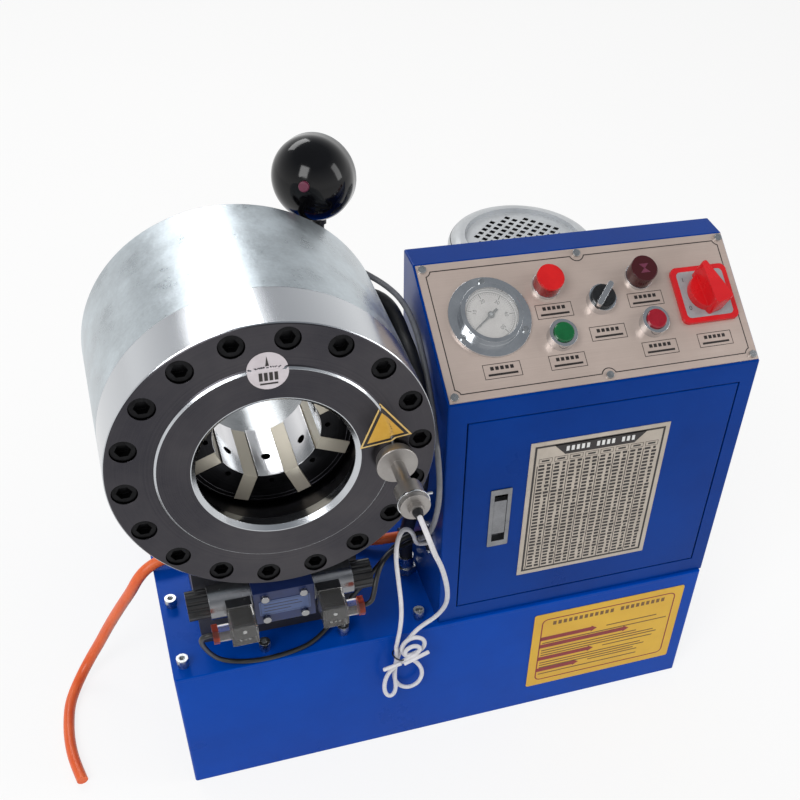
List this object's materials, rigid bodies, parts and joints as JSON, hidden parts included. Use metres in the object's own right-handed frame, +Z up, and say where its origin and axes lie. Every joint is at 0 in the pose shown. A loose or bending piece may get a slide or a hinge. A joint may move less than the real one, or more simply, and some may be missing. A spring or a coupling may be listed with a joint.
{
  "type": "hose crimping machine",
  "caption": "Bench hydraulic hose crimper: oil tank base, round crimping head with cone-guided dies, sloped control cabinet, pump motor and valve.",
  "frame": {"origin": "centre of the oil tank's flat underside", "axes": "+X to the operator's right, +Y away from the operator along the crimping head's axis, +Z up"},
  "size_m": [0.7838, 0.6562, 0.6696],
  "materials": {
    "tank_paint": "satin blue enamel",
    "cabinet_paint": "satin blue enamel",
    "black_paint": "satin black",
    "gunmetal": "dark gun-metal grey, satin",
    "machined_steel": "turned and mottled",
    "black_screw": "black oxide",
    "zinc_screw": "zinc plated",
    "die_steel": "black oxide with bright ground bore",
    "piston_steel": "ground",
    "switch_metal": "satin nickel",
    "valve_paint": "navy blue",
    "coil_metal": "zinc and black",
    "black_plastic": "matte",
    "clear_plug": "clear, glossy",
    "panel_plate": "anodised, printed lines",
    "plate_metal": "printed",
    "chrome_ring": "polished",
    "green_plastic": "glossy",
    "red_plastic": "glossy",
    "motor_paint": "painted pale grey",
    "cowl_paint": "pale grey",
    "steel": "plain",
    "hose_rubber": "matte black",
    "white_cord": "white sheath",
    "grey_cord": "grey sheath",
    "black_cord": "black sheath",
    "orange_cord": "orange sheath"
  },
  "bodies": {
    "machine": {"barrel": "machined_steel", "button_bezels": "chrome_ring", "cabinet_shell": "cabinet_paint", "cable_glands": "black_plastic", "coil_knobs": "black_plastic", "contactors": "black_plastic", "control_plate": "panel_plate", "cord_hank": "white_cord", "door_hinges": "steel", "drain_plug": "zinc_screw", "fan_cowl": "cowl_paint", "flange_screws": "black_screw", "front_flange": "gunmetal", "gauge_case": "chrome_ring", "head_pedestal": "black_paint", "hose_fittings": "zinc_screw", "instruction_plate": "plate_metal", "lamp_arm": "black_paint", "lamp_cable": "grey_cord", "lid_screws": "zinc_screw", "limit_switch": "switch_metal", "mains_cord": "orange_cord", "motor_body": "motor_paint", "plate_screws": "zinc_screw", "pressure_hose": "hose_rubber", "pump": "steel", "signal_lamps": "red_plastic", "switch_cord_front": "white_cord", "switch_cord_rear": "white_cord", "switch_plate": "red_plastic", "tank_lid": "tank_paint", "tank_shell": "tank_paint", "valve_body": "valve_paint", "valve_cable_left": "black_cord", "valve_cable_right": "black_cord", "valve_coils": "coil_metal", "valve_plugs": "clear_plug"},
    "filler_cap": {"filler_cap": "black_plastic"},
    "motor_rotor": {"motor_rotor": "steel"},
    "door": {"cabinet_door": "cabinet_paint", "size_plate": "plate_metal", "latch_plate": "chrome_ring"},
    "latch_lever": {"latch_lever": "chrome_ring"},
    "gauge_needle": {"gauge_needle": "black_plastic"},
    "green_button": {"green_button": "green_plastic"},
    "red_button": {"red_button": "red_plastic"},
    "selector_knob": {"selector_knob": "black_plastic"},
    "switch_handle": {"switch_handle": "red_plastic"},
    "adjuster_dial": {"adjuster_dial": "switch_metal"},
    "piston": {"piston": "piston_steel"},
    "lamp_shade": {"lamp_shade": "black_paint"},
    "lamp_switch": {"lamp_switch": "red_plastic"},
    "die_1": {"master_die_1": "die_steel"},
    "die_2": {"master_die_2": "die_steel"},
    "die_3": {"master_die_3": "die_steel"},
    "die_4": {"master_die_4": "die_steel"},
    "die_5": {"master_die_5": "die_steel"},
    "die_6": {"master_die_6": "die_steel"},
    "die_7": {"master_die_7": "die_steel"},
    "die_8": {"master_die_8": "die_steel"}
  },
  "joints": [
    {"name": "piston_slide", "type": "slide", "parent": "machine", "child": "piston", "axis": [0, 1, 0], "range_m": [0, 0.036]},
    {"name": "door_hinge", "type": "hinge", "parent": "machine", "child": "door", "pos_m": [0.2987, -0.242, 0.3442], "axis": [0, 0, 1], "range_deg": [0, 110]},
    {"name": "latch_pull", "type": "hinge", "parent": "door", "child": "latch_lever", "pos_m": [0.0427, -0.2428, 0.3628], "axis": [-1, 0, 0], "range_deg": [0, 35]},
    {"name": "gauge_pointer", "type": "hinge", "parent": "machine", "child": "gauge_needle", "pos_m": [0.0423, -0.17804, 0.55235], "axis": [0, -0.5252, 0.851], "range_deg": [-270, 0], "stiffness_Nm_per_rad": 0.001},
    {"name": "green_press", "type": "slide", "parent": "machine", "child": "green_button", "axis": [0, 0.5252, -0.851], "range_m": [0, 0.0035], "stiffness_N_per_m": 300, "springref_m": -0.003},
    {"name": "red_press", "type": "slide", "parent": "machine", "child": "red_button", "axis": [0, 0.5252, -0.851], "range_m": [0, 0.0035], "stiffness_N_per_m": 300, "springref_m": -0.003},
    {"name": "selector_turn", "type": "hinge", "parent": "machine", "child": "selector_knob", "pos_m": [0.1625, -0.17784, 0.55717], "axis": [0, -0.5252, 0.851], "range_deg": [0, 90]},
    {"name": "main_switch_turn", "type": "hinge", "parent": "machine", "child": "switch_handle", "pos_m": [0.2795, -0.18363, 0.5536], "axis": [0, -0.5252, 0.851], "range_deg": [-90, 0]},
    {"name": "limit_dial_turn", "type": "hinge", "parent": "machine", "child": "adjuster_dial", "pos_m": [-0.088, -0.31, 0.491], "axis": [0, -1, 0], "continuous": true},
    {"name": "rotor_spin", "type": "hinge", "parent": "machine", "child": "motor_rotor", "pos_m": [0.175, 0.075, 0.3], "axis": [0, 0, 1], "continuous": true},
    {"name": "filler_cap_turn", "type": "hinge", "parent": "machine", "child": "filler_cap", "pos_m": [-0.26, 0.17, 0.205], "axis": [0, 0, 1], "range_deg": [0, 90]},
    {"name": "lamp_tilt", "type": "hinge", "parent": "machine", "child": "lamp_shade", "pos_m": [-0.08761, -0.00212, 0.58965], "axis": [-0.9149, 0.4036, 0], "range_deg": [-8, 45]},
    {"name": "lamp_press", "type": "slide", "parent": "lamp_shade", "child": "lamp_switch", "axis": [0.3901, 0.8842, -0.2571], "range_m": [0, 0.003], "stiffness_N_per_m": 200, "springref_m": -0.003},
    {"name": "die_1_slide", "type": "slide", "parent": "machine", "child": "die_1", "axis": [0, 0.9563, -0.2924], "range_m": [0, 0.0377]},
    {"name": "die_2_slide", "type": "slide", "parent": "machine", "child": "die_2", "axis": [0.2067, 0.9563, -0.2067], "range_m": [0, 0.0377]},
    {"name": "die_3_slide", "type": "slide", "parent": "machine", "child": "die_3", "axis": [0.2924, 0.9563, 0], "range_m": [0, 0.0377]},
    {"name": "die_4_slide", "type": "slide", "parent": "machine", "child": "die_4", "axis": [0.2067, 0.9563, 0.2067], "range_m": [0, 0.0377]},
    {"name": "die_5_slide", "type": "slide", "parent": "machine", "child": "die_5", "axis": [0, 0.9563, 0.2924], "range_m": [0, 0.0377]},
    {"name": "die_6_slide", "type": "slide", "parent": "machine", "child": "die_6", "axis": [-0.2067, 0.9563, 0.2067], "range_m": [0, 0.0377]},
    {"name": "die_7_slide", "type": "slide", "parent": "machine", "child": "die_7", "axis": [-0.2924, 0.9563, 0], "range_m": [0, 0.0377]},
    {"name": "die_8_slide", "type": "slide", "parent": "machine", "child": "die_8", "axis": [-0.2067, 0.9563, -0.2067], "range_m": [0, 0.0377]}
  ],
  "couplings": [
    {"joint": "die_1_slide", "follows": "piston_slide", "ratio": 1.0457},
    {"joint": "die_2_slide", "follows": "piston_slide", "ratio": 1.0457},
    {"joint": "die_3_slide", "follows": "piston_slide", "ratio": 1.0457},
    {"joint": "die_4_slide", "follows": "piston_slide", "ratio": 1.0457},
    {"joint": "die_5_slide", "follows": "piston_slide", "ratio": 1.0457},
    {"joint": "die_6_slide", "follows": "piston_slide", "ratio": 1.0457},
    {"joint": "die_7_slide", "follows": "piston_slide", "ratio": 1.0457},
    {"joint": "die_8_slide", "follows": "piston_slide", "ratio": 1.0457}
  ]
}
